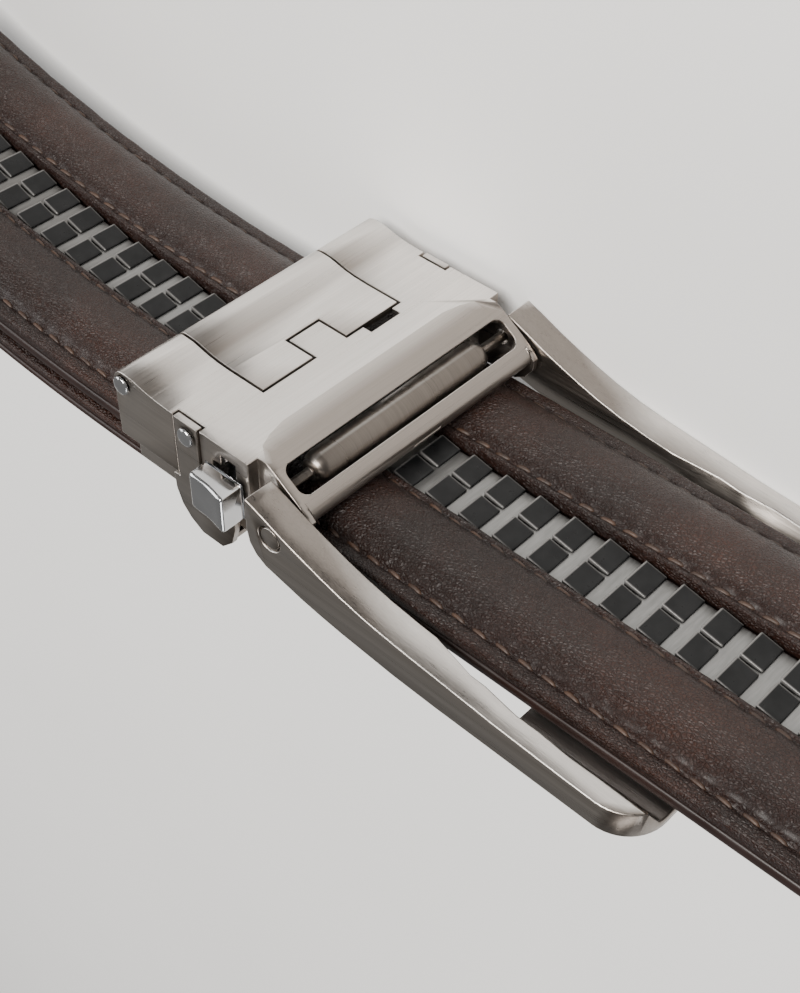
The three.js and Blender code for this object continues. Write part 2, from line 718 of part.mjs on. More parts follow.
// An arm's side: its top dips behind the buckle and its foot follows. along is the share of the frame's length
// from its rear, top the share of ARM_RISE above the strap's face and foot the share of ARM_DROP below it.
const ARM_SIDE = [
  { along: 0, top: 1, foot: -0.49 },
  { along: 0.007, top: 0.98, foot: -0.13 },
  { along: 0.025, top: 0.93, foot: 0.13 },
  { along: 0.052, top: 0.85, foot: 0.3 },
  { along: 0.106, top: 0.68, foot: 0.434 },
  { along: 0.159, top: 0.537, foot: 0.557 },
  { along: 0.213, top: 0.401, foot: 0.651 },
  { along: 0.267, top: 0.286, foot: 0.726 },
  { along: 0.338, top: 0.17, foot: 0.802 },
  { along: 0.41, top: 0.095, foot: 0.868 },
  { along: 0.517, top: 0.014, foot: 0.915 },
  { along: 0.66, top: -0.082, foot: 0.943 },
  { along: 0.821, top: -0.156, foot: 0.981 },
  { along: 1, top: -0.19, foot: 1 },
];

// A rectangle in X and Z with its two front corners rounded.
function roundedFront(xFrom, xTo, half, corner) {
  const shape = new THREE.Shape();
  shape.moveTo(xFrom, -half);
  shape.lineTo(xTo - corner, -half);
  shape.absarc(xTo - corner, -half + corner, corner, -Math.PI / 2, 0, false);
  shape.absarc(xTo - corner, half - corner, corner, 0, Math.PI / 2, false);
  shape.lineTo(xFrom, half);
  return shape;
}

// The channel over the cross plate. The arms slope down to it ever wider towards the front.
function shoulderWaste(gap, floor) {
  const length = FRAME_FRONT - CROSS_REAR + SHOULDER_RUN;
  const sections = [0, 0.25, 0.5, 0.75, 1].map((share) => {
    const x = FRAME_FRONT + 0.5 - length * share;
    const edge = gap + 0.05 + CROSS_SHOULDER * (1 - share * share);
    return [
      [floor, gap],
      [floor, -gap],
      [1, -edge],
      [1, edge],
    ].map(([y, z]) => new THREE.Vector3(x, y, z));
  });
  const flat = sections[0].map(({ y, z }) => new THREE.Vector2(-z, y));
  return solidOf(loft(sections, flat));
}

function buckleFrame() {
  const half = FRAME_WIDTH / 2;
  const gap = ARM_GAP / 2;
  const crossTop = -EDGE_THICKNESS - 0.5;
  const length = FRAME_FRONT - FRAME_REAR;
  const side = [
    ...ARM_SIDE.map(({ along, foot }) => [FRAME_REAR + along * length, -foot * ARM_DROP]),
    ...ARM_SIDE.map(({ along, top }) => [FRAME_REAR + along * length, top * ARM_RISE]).reverse(),
  ];
  let frame = across(side, -half, half);
  frame = frame.intersect(upward(roundedFront(FRAME_REAR - 1, FRAME_FRONT, half, FRAME_CORNER), -20, 20));
  const plate = roundedFront(CROSS_REAR, FRAME_FRONT - 0.8, half - CROSS_INSET, FRAME_CORNER - 1);
  frame = frame.add(upward(plate, CROSS_BOTTOM, crossTop));
  frame = frame.subtract(block(FRAME_REAR - 1, CROSS_REAR, -20, 20, -gap, gap));
  frame = frame.subtract(shoulderWaste(gap, crossTop));
  frame = frame.subtract(rod(FRAME_PIN.x, FRAME_PIN.y, FRAME_PIN.radius + FIT, -half - 1, half + 1));
  const seat = half - FRAME_PIN.sunk - FRAME_PIN.headDepth - FIT;
  frame = frame.subtract(bothSides((sign) => {
    const [from, to] = sign > 0 ? [seat, half + 1] : [-half - 1, -seat];
    return rod(FRAME_PIN.x, FRAME_PIN.y, FRAME_PIN.head + FIT, from, to);
  }));
  return geometryOf(frame);
}

// A pin with a flat head sunk into the arm. Its inner end stops short of the strap.
function framePin(side) {
  const { x, y, radius, head, headDepth, sunk } = FRAME_PIN;
  const face = FRAME_WIDTH / 2 - sunk;
  const end = TUNNEL_WIDTH / 2 + 0.1;
  const [from, to] = side > 0 ? [end, face] : [-face, -end];
  const [headFrom, headTo] = side > 0 ? [face - headDepth, face] : [-face, -face + headDepth];
  return geometryOf(rod(x, y, radius, from, to).add(rod(x, y, head, headFrom, headTo, 24)));
}

const strap = new THREE.Group();
strap.name = "strap";
strap.add(
  named("strap_lining", strapLining(), LINING),
  named("band_upper", strapBand(1), LEATHER),
  named("band_lower", strapBand(-1), LEATHER),
  named("ratchet_track", ratchetTrack(), DARK_STEEL),
);

const buckle = new THREE.Group();
buckle.name = "buckle";
buckle.position.z = BUCKLE_HEIGHT;
buckle.add(
  named("housing", housing(), SATIN_NICKEL),
  named("cover_plate", coverPlate(), SATIN_NICKEL),
  named("cover_pin", coverPin(), CHROME),
  named("release_lever", releaseLever(), CHROME),
  named("clamp_bracket", clampBracket(), SATIN_NICKEL),
  named("guide_bar", guideBar(), SATIN_NICKEL),
  named("buckle_frame", buckleFrame(), SATIN_NICKEL),
  named("frame_pin_upper", framePin(1), SATIN_NICKEL),
  named("frame_pin_lower", framePin(-1), SATIN_NICKEL),
);

// The origin is in the middle of the belt's footprint, on the ground.
const belt = new THREE.Group();
belt.name = "ratchet_belt";
belt.add(strap, buckle);
const middle = new THREE.Box3().setFromObject(belt, true).getCenter(new THREE.Vector3());
strap.position.x = -middle.x;
strap.position.y = -middle.y;
buckle.position.x = -middle.x;
buckle.position.y = -middle.y;

export default belt;
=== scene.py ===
"""The looks of a fastened ratchet belt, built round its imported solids. Sizes are in millimetres until they
go into a mesh. X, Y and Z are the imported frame's: along the buckle, into the loop and up across the strap."""
import itertools
import math

import bmesh
import bpy
import numpy as np
from mathutils import Matrix, Vector


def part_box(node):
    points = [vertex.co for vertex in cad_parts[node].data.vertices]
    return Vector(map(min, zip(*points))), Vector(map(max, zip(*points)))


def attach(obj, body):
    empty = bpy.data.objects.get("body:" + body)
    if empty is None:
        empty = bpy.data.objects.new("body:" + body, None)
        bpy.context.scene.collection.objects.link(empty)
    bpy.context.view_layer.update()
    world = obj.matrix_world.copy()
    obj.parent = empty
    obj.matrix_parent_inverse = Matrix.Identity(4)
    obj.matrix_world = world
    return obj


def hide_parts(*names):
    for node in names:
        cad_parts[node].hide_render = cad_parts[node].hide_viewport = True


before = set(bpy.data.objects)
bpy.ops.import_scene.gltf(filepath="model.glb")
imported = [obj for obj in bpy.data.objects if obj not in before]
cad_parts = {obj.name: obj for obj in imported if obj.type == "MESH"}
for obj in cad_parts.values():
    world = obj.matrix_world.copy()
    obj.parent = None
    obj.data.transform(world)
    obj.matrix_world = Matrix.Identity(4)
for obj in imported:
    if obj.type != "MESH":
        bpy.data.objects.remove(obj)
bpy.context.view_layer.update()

MM = 0.001
TURN = 2 * math.pi

# Sizes shared with the solids. FIT is the space left between pieces that touch.
STRAP_WIDTH = 38.0
EDGE_THICKNESS = 3.4
BAND_CROWN = 2.0
CHANNEL_WIDTH = 10.2
PARED_THICKNESS = 2.4
PARED_LENGTH = 125.0
PARING_RUN = 60.0
STRAIGHT_FROM = -40.0
STRAIGHT_TO = 75.0
SIDE_RADIUS, SIDE_ANGLE = 260.0, math.radians(15)
END_RADIUS, END_ANGLE = 80.0, math.radians(130)
TAIL_TIP = -128.0
TIP_LENGTH = 13.0
CLAMPED_END = -10.0
CLAMPED_DEPTH = 4.9
SHIFT_FROM, SHIFT_TO = 180.0, 690.0
LEVEL_REACH, SAG_REACH = 112.0, 330.0
BUCKLE_HEIGHT = 25.0
FRAME_REAR = -8.9
CROSS_BOTTOM = -6.8
TRACK_WIDTH = 9.0
TRACK_BASE = 1.5
TRACK_GROOVE = 0.5
ROW_PITCH = 5.19
PLATE_LENGTH = 3.1
PLATE_LOW = 0.65
STRIP_LEVEL = 0.9
FIRST_ROW, ROWS = -20, 45
FIT = 0.3

# Where the strap's sections stand: close together in the photograph's view, wider round the back.
TIP_SECTIONS = 14
TIP_START = 0.06
NEAR_GAP, NEAR_STEP = 0.8, 0.64
NEAR_END = 150.0
FAR_STEP = 1.6

# The strap's edges and bands. A place on a band is its distance from the band's outer edge.
EDGE_BULGE, EDGE_SQUARENESS = 0.55, 0.7
EDGE_COLUMNS, FLAT_COLUMNS = 13, 9
BAND_EDGE = STRAP_WIDTH / 2 - 0.12
BAND_WIDTH = BAND_EDGE - CHANNEL_WIDTH / 2
BAND_ROUNDING = 0.42
OUTER_SEAM = 2.15
INNER_SEAM = BAND_WIDTH - 1.1
CROWN_LEAN, CROWN_POWER = 0.92, 0.62
CROWN_SHARE = 0.90
BORDER_LIFT, CHANNEL_LIFT = 0.02, 0.27
LIFT_LOST = 0.75
GROOVE_DEPTH, GROOVE_WIDTH = 0.22, 0.42
PULL_DEPTH, PULL_WIDTH = 0.09, 0.8

# The columns of a band's mesh: places from its outer edge, stretches by start, end and number, distances from
# the channel, shares of the walls' depth, and how far the outer wall leans in. The last number counts the
# columns underneath with both edges.
OUTER_COLUMNS = np.array([0.0, 0.02, 0.12, 0.3, 0.6, 1.0, 1.4])
COLUMN_STRETCHES = ((1.65, 2.7, 7), (3.1, BAND_WIDTH - 2.1, 24), (BAND_WIDTH - 1.7, BAND_WIDTH - 0.6, 7))
CHANNEL_COLUMNS = np.array([0.35, 0.14, 0.03, 0.0])
WALL_COLUMNS = np.array([0.35, 0.75, 1.0])
OUTER_WALL_LEAN = np.array([0.08, 0.02, 0.0])
UNDER_COLUMNS = 6

# Smooth random lines: a seed, how many bends there are along the strap, and their height.
BAND_WAVES = ((11, 60, 0.05), (31, 170, 0.03))
# The outer edge wanders by another, which fades out over a width.
WANDER_SEED, WANDER_BENDS, WANDER, WANDER_WIDTH = 51, 240, 0.06, 0.8

# Painted shade on a band's leather, darker along the seams and the band's edges so that the crown's middle
# reads as lit: the middle, the width and the strength of each stripe.
SEAM_SHADE_STRIPES = (
    (OUTER_SEAM, 1.1, 1.0),
    (INNER_SEAM, 1.4, 1.0),
    (OUTER_SEAM, 3.4, 0.5),
    (BAND_WIDTH, 3.0, 0.4),
)

# The stitches.
STITCH_PITCH = 3.2
STITCH_LENGTH = 2.3
STITCH_MARGIN = 1.5
STITCH_SEED = 5
STITCH_WANDER, STITCH_SLANT = 0.05, 0.12
STITCH_ARCH, STITCH_SINK = 0.14, 0.06
STITCH_RINGS, STITCH_SIDES = 7, 6
THREAD_RADIUS = 0.34
THREAD_FLATNESS = 0.9
THREAD_POWER, THREAD_END = 3.5, 0.04

# The strip under the track's plates. Each row of its side is a distance inwards and a level. The levels above
# one of them are raised in each gap.
BED_TOP = -0.94
BED_SIDE = ((0.0, -TRACK_BASE), (0.0, -1.12), (0.08, -0.99), (0.25, BED_TOP), (3.1, BED_TOP))
RAISED_FROM = -1.0
BED_MARGIN, BED_STEP = 0.05, 0.26
BED_RISE, BED_RISE_REACH = 0.03, 1.2

# The track's plates: the lines of a plate's grid, as shares of its half width and of its length. Lines beyond
# the next two numbers belong to its sides and its rear, which are cut at the corners, dropped and painted
# lighter as a highlight.
PLATE_ACROSS = np.array([-1, -0.97, -0.88, 0, 0.88, 0.97, 1.0])
PLATE_ALONG = np.array([0, 0.03, 0.1, 0.5, 0.9, 0.97, 1.0])
PLATE_SIDE, PLATE_REAR = 0.95, 0.06
CORNER_CUT, CORNER_SHARE = 0.05, 0.6
PLATE_EDGE_DROP = 0.10
# Painted highlight on the plates: how far it reaches from the rear edge, and its strength along the sides.
REAR_HIGHLIGHT_REACH, SIDE_HIGHLIGHT = 0.09, 0.35
PLATE_SUNK = 0.02

# Metal corners nearer than this are merged. It is less than any real step of the metal pieces.
SLIVER = 0.06
# Neighbouring faces that turn by less than this are one flat face, and by more than the next are rounded.
FLAT_TURN = math.radians(1.0)
ROUNDED_TURN = math.radians(32)
ROUNDING_SEGMENTS = 2
# An edge is rounded when it is longer than this many times the rounding.
SHORTEST_EDGE = 1.2
# Two edges that meet at less than this angle aren't both rounded.
SHARPEST_CORNER = math.radians(25)

# A crease of the housing lies between a face that looks straight out and one that is tipped forwards.
STRAIGHT_OUT = 0.9995
LEAST_TIPPED, STILL_OUT = 0.06, 0.8

# Where the buckle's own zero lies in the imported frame.
frame_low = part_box("buckle_frame")[0]
ORIGIN = np.array([frame_low.x / MM - FRAME_REAR, frame_low.y / MM - CROSS_BOTTOM, BUCKLE_HEIGHT])

# The thumb piece of the release lever, from the housing's side outwards.
THUMB_REAR, THUMB_FRONT = -18.3, -12.0
THUMB_BOTTOM, THUMB_TOP = 0.0, 5.5
THUMB_REACH = 3.5
THUMB_ROUND = 0.5
THUMB_LEAN, THUMB_HOLLOW = 0.75, 0.42
THUMB_LEAN_POWER, THUMB_HOLLOW_POWER = 3, 1.5
THUMB_END_STEPS, THUMB_MIDDLE_STEPS, THUMB_CORNER_STEPS = 7, 12, 7
THUMB_END_START = 0.12
THUMB_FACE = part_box("release_lever")[1].z / MM - BUCKLE_HEIGHT - THUMB_REACH
CUT_MARGIN, CUT_GAP = 0.5, 0.05
ON_THE_CUT = 0.01

# The bar in the window: its middle, a radius between its pins' and its own, and how much fatter it is drawn.
BAR_ALONG, BAR_OUT = -8.5, 4.8
BAR_PIN = 1.2
BAR_SWELL = 1.09


def smoothstep(value, low, high):
    """0 below low, 1 above high, and three squares less two cubes of the share between them."""
    share = np.clip((value - low) / (high - low), 0, 1)
    return share * share * (3 - 2 * share)


def bell(distance, width):
    """1 at no distance and falling off on both sides: e to the power of minus the square of distance over
    width."""
    return np.exp(-((distance / width) ** 2))


STRAIGHT_HALF = (STRAIGHT_TO - STRAIGHT_FROM) / 2
LOOP_MIDDLE = (STRAIGHT_TO + STRAIGHT_FROM) / 2
BACK_ANGLE = math.pi - SIDE_ANGLE - END_ANGLE
BACK_RADIUS = (
    STRAIGHT_HALF + (SIDE_RADIUS - END_RADIUS) * math.sin(SIDE_ANGLE) + END_RADIUS * math.sin(BACK_ANGLE)
) / math.sin(BACK_ANGLE)
LOOP_ARCS = ((SIDE_RADIUS, SIDE_ANGLE), (END_RADIUS, END_ANGLE), (BACK_RADIUS, BACK_ANGLE))
LOOP_LENGTH = 2 * (STRAIGHT_HALF + sum(radius * angle for radius, angle in LOOP_ARCS))
STRAP_END = LOOP_LENGTH + CLAMPED_END


def from_middle(along):
    """The length along the loop from the middle of the straight stretch, less whole turns of the loop, so
    that it is negative towards the tail."""
    return np.mod(along - LOOP_MIDDLE + LOOP_LENGTH / 2, LOOP_LENGTH) - LOOP_LENGTH / 2


def loop_point(along):
    """The loop at a length as x, y and the two parts of the direction into the loop: a straight stretch,
    then arcs laid end to end, each adding radius times the change of the heading's sine and cosine."""
    offset = from_middle(along)
    side = np.where(offset < 0, -1.0, 1.0)
    rest = np.abs(offset) - STRAIGHT_HALF
    x = STRAIGHT_HALF + np.minimum(rest, 0)
    y = np.zeros_like(x)
    heading = np.zeros_like(x)
    for radius, angle in LOOP_ARCS:
        turn = np.clip(rest / radius, 0, angle)
        x = x + radius * (np.sin(heading + turn) - np.sin(heading))
        y = y + radius * (np.cos(heading) - np.cos(heading + turn))
        heading = heading + turn
        rest = rest - radius * angle
    return LOOP_MIDDLE + side * x, y, -side * np.sin(heading), np.cos(heading)


def strap_height(along):
    """The height of the strap's middle: the buckle's, sinking by a smooth step to half the strap's width,
    where the strap stands on the floor."""
    sag = smoothstep(np.abs(from_middle(along)), LEVEL_REACH, SAG_REACH)
    return BUCKLE_HEIGHT - sag * (BUCKLE_HEIGHT - STRAP_WIDTH / 2)


def paring(along):
    """A smooth step from 0 along the full strap to 1 along the pared end."""
    start = STRAP_END - PARED_LENGTH
    return smoothstep(along, start - PARING_RUN, start)


def edge_thickness(along):
    """The strap's thickness at its edges: the full one, or the pared one, blended by the paring."""
    return EDGE_THICKNESS + (PARED_THICKNESS - EDGE_THICKNESS) * paring(along)


def half_width(along):
    """Half the strap's width, rounded off to an ellipse at the tip of the tail."""
    share = np.clip((TAIL_TIP + TIP_LENGTH - along) / TIP_LENGTH, 0, 1)
    return STRAP_WIDTH / 2 * np.sqrt(np.clip(1 - share * share, 0, 1))


def strap_place(along, out, across):
    """Points of the strap in metres: the loop's point at a length along it, moved out of the strap's face
    and across it. The strap's ends overlap, so a smooth step moves the clamped end behind the tail."""
    along, out, across = np.broadcast_arrays(along, out, across)
    x, y, in_x, in_y = loop_point(along)
    inwards = out - CLAMPED_DEPTH * smoothstep(along, SHIFT_FROM, SHIFT_TO)
    height = across + strap_height(along)
    return np.stack([x + inwards * in_x + ORIGIN[0], y + inwards * in_y + ORIGIN[1], height], -1) * MM


def buckle_place(points):
    """Points given as along, out and across from the buckle's zero, moved by ORIGIN and in metres."""
    return (np.asarray(points, float) + ORIGIN) * MM


def noise_rows(seed, length, count):
    """A smooth random line: count random heights, joined by a cosine blend over length samples."""
    heights = np.random.default_rng(seed).uniform(-1, 1, count + 2)
    position = np.linspace(0, count, length)
    cell = np.minimum(position.astype(int), count - 1)
    blend = (1 - np.cos(math.pi * (position - cell))) / 2
    return heights[cell] * (1 - blend) + heights[cell + 1] * blend


# Colours, as linear red, green and blue
DEEP_BROWN, BROWN, WARM_BROWN = (0.0090, 0.0024, 0.0010), (0.0225, 0.0062, 0.0026), (0.040, 0.0120, 0.0052)
# The next colour is painted shade along the bands' seams and edges.
SEAM_SHADE_BROWN = (0.0100, 0.0031, 0.0017)
FLECK_BROWN = (0.0052, 0.0026, 0.0019)
# The next colour is painted shade in the creases of the leather's grain.
SHADED_CREASE_BROWN = (0.004, 0.0016, 0.0010)
EDGE_PAINT, WORN_EDGE_PAINT = (0.0080, 0.0034, 0.0026), (0.0165, 0.0068, 0.0050)
DARK_THREAD, LIGHT_THREAD = (0.018, 0.0080, 0.0042), (0.050, 0.024, 0.0128)
BRIGHT_NICKEL, NICKEL, DULL_NICKEL = (0.80, 0.765, 0.73), (0.66, 0.63, 0.60), (0.52, 0.495, 0.47)
LIGHT_BAR, DARK_BAR = (0.44, 0.415, 0.39), (0.33, 0.31, 0.29)
LIGHT_BED, DARK_BED = (0.30, 0.30, 0.295), (0.20, 0.20, 0.197)
# The next two colours are painted shade, multiplied into brushed metal on faces turned to the front and on
# faces across the strap.
FRONT_SHADE, SIDE_SHADE = (0.38, 0.355, 0.335), (0.58, 0.55, 0.52)
SMEARED_CHROME, CLEAR_CHROME = (0.44, 0.445, 0.455), (0.56, 0.565, 0.575)
# The last colour on the next line is a painted highlight on the plates' raised edges.
BLACK_PLATE, GREY_PLATE, RIM_HIGHLIGHT_GREY = (0.004, 0.0042, 0.0045), (0.009, 0.0092, 0.0095), (0.36, 0.35, 0.34)
PALE_FLOOR, PALER_FLOOR = (0.74, 0.735, 0.725), (0.78, 0.775, 0.765)
SKY = (1.0, 0.985, 0.965)
WARM_LIGHT, WHITE_LIGHT = (1.0, 0.97, 0.93), (1.0, 1.0, 1.0)

# Brushing: how often the noise changes in a metre along X, Y and Z
CROSSWISE, LENGTHWISE, ROUND = (7000, 5000, 60), (60, 6000, 6000), (90, 90, 7000)
BED_BRUSHING = (2500, 2500, 300)
# The coarse streaks change this much less often, and the fine ones have this share in the sum.
COARSENESS = 0.18
FINE_SHARE = 0.6
# A face counts as one across the strap as its normal's Z goes from low to high, and as turned to the front as
# its X does. Faces across the strap are brushed lengthwise, and both kinds get painted shade in their colour.
SIDEWAYS, FRONT_SHADE_RANGE = (0.68, 0.74), (0.04, 0.26)
# Most of a noise lies between these values, and most of the sum of streaks between the next two.
NOISE_LOW, NOISE_HIGH = 0.3, 0.7
STREAKS_LOW, STREAKS_HIGH = 0.34, 0.66

# The leather's marks and its painted shade: how strong each is at most, and the values of its pattern between
# which it comes in. Pebbles rise with the distance from the lines between them, and creases are this much
# higher than pebbles.
# The next strength is that of the painted shade along the seams.
SEAM_SHADE_STRENGTH = 0.62
FLECKS, FLECK_RANGE = 0.35, (0.35, 0.7)
# Painted shade in the grain's creases: its strength, and the range of the cells' distance over which it fades.
CREASE_SHADE, CREASE_SHADE_RANGE = 0.55, (0.02, 0.16)
PEBBLE_RANGE = (0, 0.32)
CREASE_HEIGHT = 1.1

# Materials


class Look:
    """A material that is put together node by node. Places and heights in it are in metres."""

    def __init__(self, name):
        self.material = bpy.data.materials.new(name)
        self.material.use_nodes = True
        self.tree = self.material.node_tree
        self.shader = self.tree.nodes["Principled BSDF"]

    def feed(self, socket, value):
        """Links another node's output to a socket, or sets the socket to a number, a vector or a colour."""
        if isinstance(value, bpy.types.NodeSocket):
            self.tree.links.new(value, socket)
        elif socket.type == "RGBA":
            socket.default_value = (*value, 1)
        else:
            socket.default_value = value

    def feed_named(self, node, values):
        """Feeds a node's inputs by name, with low lines in place of spaces."""
        for name, value in values.items():
            self.feed(node.inputs[name.replace("_", " ")], value)

    def node(self, kind, **values):
        """A new node with some of its inputs fed."""
        made = self.tree.nodes.new(kind)
        self.feed_named(made, values)
        return made

    def surface(self, **values):
        """Feeds the shader's inputs and hands back the finished material."""
        self.feed_named(self.shader, values)
        return self.material

    def place(self, scale=(1, 1, 1)):
        """The place on the object, times a scale along each axis."""
        coordinates = self.node("ShaderNodeTexCoord").outputs["Object"]
        return self.node("ShaderNodeMapping", Vector=coordinates, Scale=scale).outputs["Vector"]

    def noise(self, where, scale, detail=3.0, roughness=0.5, distortion=0.0):
        """Cloudy noise from 0 to 1 that changes scale times in a metre."""
        made = self.node("ShaderNodeTexNoise", Vector=where, Scale=scale, Detail=detail)
        self.feed_named(made, {"Roughness": roughness, "Distortion": distortion})
        return made.outputs["Fac"]

    def span(self, value, source, target):
        """A value carried evenly from the source range to the target range, and held at its ends."""
        made = self.node("ShaderNodeMapRange", Value=value, From_Min=source[0], From_Max=source[1])
        self.feed_named(made, {"To Min": target[0], "To Max": target[1]})
        return made.outputs["Result"]

    def ramp(self, value, *stops):
        """A colour blended between stops, each a value and its colour. A new ramp comes with two stops."""
        made = self.node("ShaderNodeValToRGB", Fac=value)
        elements = made.color_ramp.elements
        for position, _ in stops[1:-1]:
            elements.new(position)
        for element, (position, color) in zip(elements, stops):
            element.position = position
            element.color = (*color, 1)
        return made.outputs["Color"]

    def shades(self, noise, dark, light):
        """A colour that goes from dark to light with a noise."""
        return self.ramp(noise, (NOISE_LOW, dark), (NOISE_HIGH, light))

    def gloss(self, noise, low, high):
        """A roughness that goes from low to high with a noise."""
        return self.span(noise, (NOISE_LOW, NOISE_HIGH), (low, high))

    def mix(self, factor, first, second, blend="MIX"):
        """The first colour at a factor of 0, and the blend of both at 1."""
        made = self.node("ShaderNodeMix")
        made.data_type = "RGBA"
        made.blend_type = blend
        sockets = [socket for socket in made.inputs if socket.enabled]
        for socket, value in zip(sockets, (factor, first, second)):
            self.feed(socket, value)
        return next(socket for socket in made.outputs if socket.enabled)

    def combine(self, operation, first, second=0.0):
        """The sum or product of two values, or the size of the first without its sign."""
        made = self.node("ShaderNodeMath")
        made.operation = operation
        for socket, value in zip(made.inputs, (first, second)):
            self.feed(socket, value)
        return made.outputs[0]

    def combine_vectors(self, operation, first, second=None, scale=None):
        """The sum of two vectors, or the first one times a scale."""
        made = self.node("ShaderNodeVectorMath")
        made.operation = operation
        self.feed(made.inputs[0], first)
        if second is not None:
            self.feed(made.inputs[1], second)
        if scale is not None:
            self.feed(made.inputs["Scale"], scale)
        return made.outputs[0]

    def attribute(self, name):
        """The mesh's own value at each point."""
        made = self.node("ShaderNodeAttribute")
        made.attribute_name = name
        return made.outputs["Fac"]

    def bump(self, height, distance, strength, below=None):
        """The surface's direction, tilted by the slope of a height, on top of another bump if given one."""
        made = self.node("ShaderNodeBump", Height=height, Distance=distance, Strength=strength)
        if below is not None:
            self.feed(made.inputs["Normal"], below)
        return made.outputs["Normal"]


def leather_cells(look, where):
    """The distance from the nearest line between the leather's cells, about two in a millimetre. The place is
    moved by up to 0.9 mm of a small noise first, so that the lines bend."""
    shift = look.node("ShaderNodeTexNoise", Vector=where, Scale=700, Detail=2).outputs["Color"]
    bent = look.combine_vectors("ADD", where, look.combine_vectors("SCALE", shift, scale=0.0009))
    cells = look.node("ShaderNodeTexVoronoi")
    cells.feature = "DISTANCE_TO_EDGE"
    look.feed_named(cells, {"Vector": bent, "Scale": 2200, "Randomness": 1})
    return cells.outputs["Distance"]


def leather_look():
    """Dark brown leather: cells and creases about half a millimetre across, with painted shade along the
    seams and in the creases between the cells."""
    look = Look("band_leather")
    where = look.place()
    patches = look.noise(where, scale=55, detail=4, roughness=0.55)
    base = look.ramp(patches, (0.3, DEEP_BROWN), (0.52, BROWN), (0.75, WARM_BROWN))
    # Painted shade: darker along the seams and the bands' edges.
    painted_seam_shade = look.span(look.attribute("seam"), (0, 1), (0, SEAM_SHADE_STRENGTH))
    base = look.mix(painted_seam_shade, base, SEAM_SHADE_BROWN)
    flecks = look.span(look.noise(where, scale=900, detail=3, roughness=0.6), FLECK_RANGE, (0, FLECKS))
    base = look.mix(flecks, base, FLECK_BROWN)
    cells = leather_cells(look, where)
    # Painted shade: the lines between the leather's cells are darkened.
    crease_shade = look.span(cells, CREASE_SHADE_RANGE, (CREASE_SHADE, 0))
    base = look.mix(crease_shade, base, SHADED_CREASE_BROWN)
    pebbles = look.span(cells, PEBBLE_RANGE, (0, 1))
    creases = look.noise(where, scale=1050, detail=5, roughness=0.62, distortion=1.6)
    grain = look.combine("ADD", pebbles, look.combine("MULTIPLY", creases, CREASE_HEIGHT))
    dents = look.bump(look.noise(where, scale=140, detail=3), distance=0.0004, strength=0.35)
    return look.surface(
        Base_Color=base,
        Normal=look.bump(grain, distance=0.00019, strength=0.75, below=dents),
        Roughness=look.gloss(look.noise(where, scale=300, detail=4), 0.40, 0.54),
        Specular_IOR_Level=0.30,
        Coat_Weight=0.20,
        Coat_Roughness=0.27,
    )


def edge_look():
    """The strap's smooth painted edge and back: darker and glossier, with faint streaks along the strap."""
    look = Look("lining_leather")
    where = look.place()
    streaks = look.noise(look.place((90, 90, 2600)), scale=1, detail=3)
    return look.surface(
        Base_Color=look.ramp(look.noise(where, scale=90), (0.35, EDGE_PAINT), (0.7, WORN_EDGE_PAINT)),
        Normal=look.bump(streaks, distance=0.0001, strength=0.25),
        Roughness=look.gloss(look.noise(where, scale=240), 0.30, 0.46),
    )


def thread_look():
    """Waxed brown thread, roughened by fine fibres."""
    look = Look("thread")
    fibres = look.noise(look.place((3000, 3000, 5200)), scale=1, detail=2)
    return look.surface(
        Base_Color=look.shades(look.noise(look.place(), scale=700, detail=2), DARK_THREAD, LIGHT_THREAD),
        Normal=look.bump(fibres, distance=0.00006, strength=0.6),
        Roughness=0.55,
    )


def brushed_look(name, light, dark, brushing, roughness=(0.24, 0.40)):
    """Brushed metal: noise stretched along the brushing, fine and coarse added together, moves the colour and
    the roughness, and the fine one the height. Faces across the strap are brushed lengthwise, and those and
    the faces turned to the front get painted shade: their colour is multiplied darker."""
    look = Look(name)
    normal = look.node("ShaderNodeTexCoord").outputs["Normal"]
    turned = look.node("ShaderNodeSeparateXYZ", Vector=normal).outputs
    sideways = look.span(look.combine("ABSOLUTE", turned["Z"]), SIDEWAYS, (0, 1))
    front_shade = look.span(turned["X"], FRONT_SHADE_RANGE, (0, 1))

    def streaks(share, **kind):
        """Noise stretched one way on most faces and lengthwise on those across the strap."""
        scales = [tuple(share * number for number in scale) for scale in (brushing, LENGTHWISE)]
        return look.mix(sideways, *(look.noise(look.place(scale), scale=1, **kind) for scale in scales))

    lines = streaks(1, detail=4, roughness=0.6)
    wide = streaks(COARSENESS, detail=3)
    fine_part = look.combine("MULTIPLY", lines, FINE_SHARE)
    both = look.combine("ADD", fine_part, look.combine("MULTIPLY", wide, 1 - FINE_SHARE))
    tone = look.ramp(both, (STREAKS_LOW, dark), (STREAKS_HIGH, light))
    # Painted shade: faces turned to the front and faces across the strap are multiplied darker.
    tone = look.mix(front_shade, tone, FRONT_SHADE, "MULTIPLY")
    tone = look.mix(sideways, tone, SIDE_SHADE, "MULTIPLY")
    return look.surface(
        Base_Color=tone,
        Roughness=look.gloss(both, *roughness),
        Normal=look.bump(lines, distance=0.00003, strength=0.5),
        Metallic=1.0,
    )


def chrome_look():
    """Polished plate with faint smears in its gloss."""
    look = Look("chrome")
    where = look.place()
    return look.surface(
        Base_Color=look.shades(look.noise(where, scale=160, detail=2), SMEARED_CHROME, CLEAR_CHROME),
        Roughness=look.gloss(look.noise(where, scale=260, detail=4), 0.10, 0.20),
        Metallic=1.0,
    )


